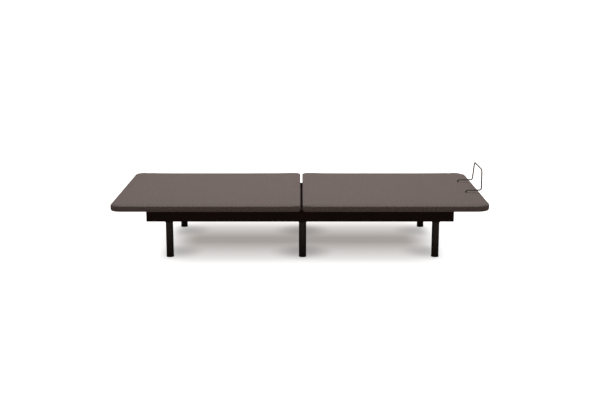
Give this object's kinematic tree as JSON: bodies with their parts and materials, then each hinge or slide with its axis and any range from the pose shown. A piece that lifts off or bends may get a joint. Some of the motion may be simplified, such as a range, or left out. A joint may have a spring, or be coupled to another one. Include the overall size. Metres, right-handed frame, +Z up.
{
  "type": "adjustable bed base",
  "caption": "Adjustable single bed base: a padded fabric deck in two halves on a black steel frame with round legs, with motor-driven back, thigh and calf panels and a mattress retainer bar.",
  "frame": {"origin": "on the floor, under the centre of the whole object's box", "axes": "+X from the head end to the foot end, +Y to the sleeper's left, +Z up"},
  "size_m": [2.0418, 0.965, 0.4446],
  "materials": {
    "deck_fabric": "matt brown-grey woven upholstery over thin padding",
    "deck_board": "plain unfinished board, hidden by the cover",
    "frame_paint": "satin black-brown powder coat",
    "leg_paint": "satin black powder coat",
    "motor_plastic": "fine-grained dark moulded plastic",
    "aluminium": "brushed",
    "steel": "ground rod",
    "rubber": "matt black",
    "nylon": "off-white moulded nylon",
    "bar_paint": "semi-gloss dark bronze-black coat"
  },
  "bodies": {
    "frame": {"side_rail_left": "frame_paint", "side_rail_right": "frame_paint", "cross_rail_head": "frame_paint", "cross_rail_back": "frame_paint", "cross_rail_center": "frame_paint", "cross_rail_foot": "frame_paint", "bumper_head": "rubber", "bumper_foot": "rubber", "leg_head_left": "leg_paint", "leg_head_right": "leg_paint", "leg_center_left": "leg_paint", "leg_center_right": "leg_paint", "leg_foot_left": "leg_paint", "leg_foot_right": "leg_paint", "glide_head_left": "rubber", "glide_head_right": "rubber", "glide_center_left": "rubber", "glide_center_right": "rubber", "glide_foot_left": "rubber", "glide_foot_right": "rubber", "seat_board": "deck_board", "seat_pad": "deck_fabric", "head_motor_mount": "frame_paint", "foot_motor_mount": "frame_paint", "control_box": "motor_plastic", "mains_inlet": "motor_plastic"},
    "back": {"back_board": "deck_board", "back_pad": "deck_fabric", "back_runner_left": "frame_paint", "back_runner_right": "frame_paint"},
    "thigh": {"thigh_board": "deck_board", "thigh_pad": "deck_fabric", "thigh_runner_left": "frame_paint", "thigh_runner_right": "frame_paint"},
    "calf": {"calf_board": "deck_board", "calf_pad": "deck_fabric", "calf_bracket_left": "frame_paint", "calf_bracket_right": "frame_paint", "retainer_bar": "bar_paint", "retainer_plate": "frame_paint"},
    "calf_links": {"calf_link_left": "frame_paint", "calf_link_right": "frame_paint"},
    "head_lift": {"head_lift_tube": "frame_paint", "head_lift_arm_left": "frame_paint", "head_lift_arm_right": "frame_paint", "head_lift_crank": "frame_paint"},
    "foot_lift": {"foot_lift_tube": "frame_paint", "foot_lift_arm_left": "frame_paint", "foot_lift_arm_right": "frame_paint", "foot_lift_crank": "frame_paint"},
    "head_roller_l": {"head_roller_left": "nylon"},
    "head_roller_r": {"head_roller_right": "nylon"},
    "foot_roller_l": {"foot_roller_left": "nylon"},
    "foot_roller_r": {"foot_roller_right": "nylon"},
    "head_motor": {"head_motor_case": "motor_plastic", "head_motor_tube": "aluminium"},
    "head_rod": {"head_motor_rod": "steel"},
    "foot_motor": {"foot_motor_case": "motor_plastic", "foot_motor_tube": "aluminium"},
    "foot_rod": {"foot_motor_rod": "steel"}
  },
  "joints": [
    {"name": "back_hinge", "type": "hinge", "parent": "frame", "child": "back", "pos_m": [-0.246, 0, 0.286], "axis": [0, 1, 0], "range_deg": [0, 60]},
    {"name": "head_lift_pivot", "type": "hinge", "parent": "frame", "child": "head_lift", "pos_m": [-0.276, 0, 0.243], "axis": [0, 1, 0], "range_deg": [0, 61]},
    {"name": "head_motor_swing", "type": "hinge", "parent": "frame", "child": "head_motor", "pos_m": [0.039, 0.11, 0.165], "axis": [0, 1, 0], "range_deg": [0, 3]},
    {"name": "head_rod_slide", "type": "slide", "parent": "head_motor", "child": "head_rod", "axis": [-0.9998, 0, -0.0194], "range_m": [0, 0.095]},
    {"name": "thigh_hinge", "type": "hinge", "parent": "frame", "child": "thigh", "pos_m": [0.029, 0, 0.286], "axis": [0, -1, 0], "range_deg": [0, 35]},
    {"name": "knee_hinge", "type": "hinge", "parent": "thigh", "child": "calf", "pos_m": [0.374, 0, 0.286], "axis": [0, 1, 0], "range_deg": [0, 41]},
    {"name": "calf_link_pivot", "type": "hinge", "parent": "frame", "child": "calf_links", "pos_m": [0.454, 0, 0.245], "axis": [0, -1, 0], "range_deg": [0, 42]},
    {"name": "foot_lift_pivot", "type": "hinge", "parent": "frame", "child": "foot_lift", "pos_m": [0.074, 0, 0.243], "axis": [0, -1, 0], "range_deg": [0, 40.5]},
    {"name": "foot_motor_swing", "type": "hinge", "parent": "frame", "child": "foot_motor", "pos_m": [-0.186, -0.045, 0.16], "axis": [0, -1, 0], "range_deg": [0, 3]},
    {"name": "foot_rod_slide", "type": "slide", "parent": "foot_motor", "child": "foot_rod", "axis": [0.9998, 0, -0.0182], "range_m": [0, 0.066]},
    {"name": "head_roller_spin_l", "type": "hinge", "parent": "head_lift", "child": "head_roller_l", "pos_m": [-0.67574, 0.25, 0.2574], "axis": [0, 1, 0], "continuous": true},
    {"name": "head_roller_spin_r", "type": "hinge", "parent": "head_lift", "child": "head_roller_r", "pos_m": [-0.67574, -0.25, 0.2574], "axis": [0, 1, 0], "continuous": true},
    {"name": "foot_roller_spin_l", "type": "hinge", "parent": "foot_lift", "child": "foot_roller_l", "pos_m": [0.29353, 0.25, 0.2574], "axis": [0, 1, 0], "continuous": true},
    {"name": "foot_roller_spin_r", "type": "hinge", "parent": "foot_lift", "child": "foot_roller_r", "pos_m": [0.29353, -0.25, 0.2574], "axis": [0, 1, 0], "continuous": true}
  ],
  "couplings": [
    {"joint": "head_lift_pivot", "follows": "back_hinge", "ratio": 1.0107},
    {"joint": "head_motor_swing", "follows": "back_hinge", "ratio": 0.0383},
    {"joint": "head_rod_slide", "follows": "back_hinge", "m_per_rad": 0.08589},
    {"joint": "knee_hinge", "follows": "thigh_hinge", "ratio": 1.1485},
    {"joint": "calf_link_pivot", "follows": "thigh_hinge", "ratio": 1.1574},
    {"joint": "foot_lift_pivot", "follows": "thigh_hinge", "ratio": 1.135},
    {"joint": "foot_motor_swing", "follows": "thigh_hinge", "ratio": 0.0402},
    {"joint": "foot_rod_slide", "follows": "thigh_hinge", "m_per_rad": 0.09954}
  ]
}
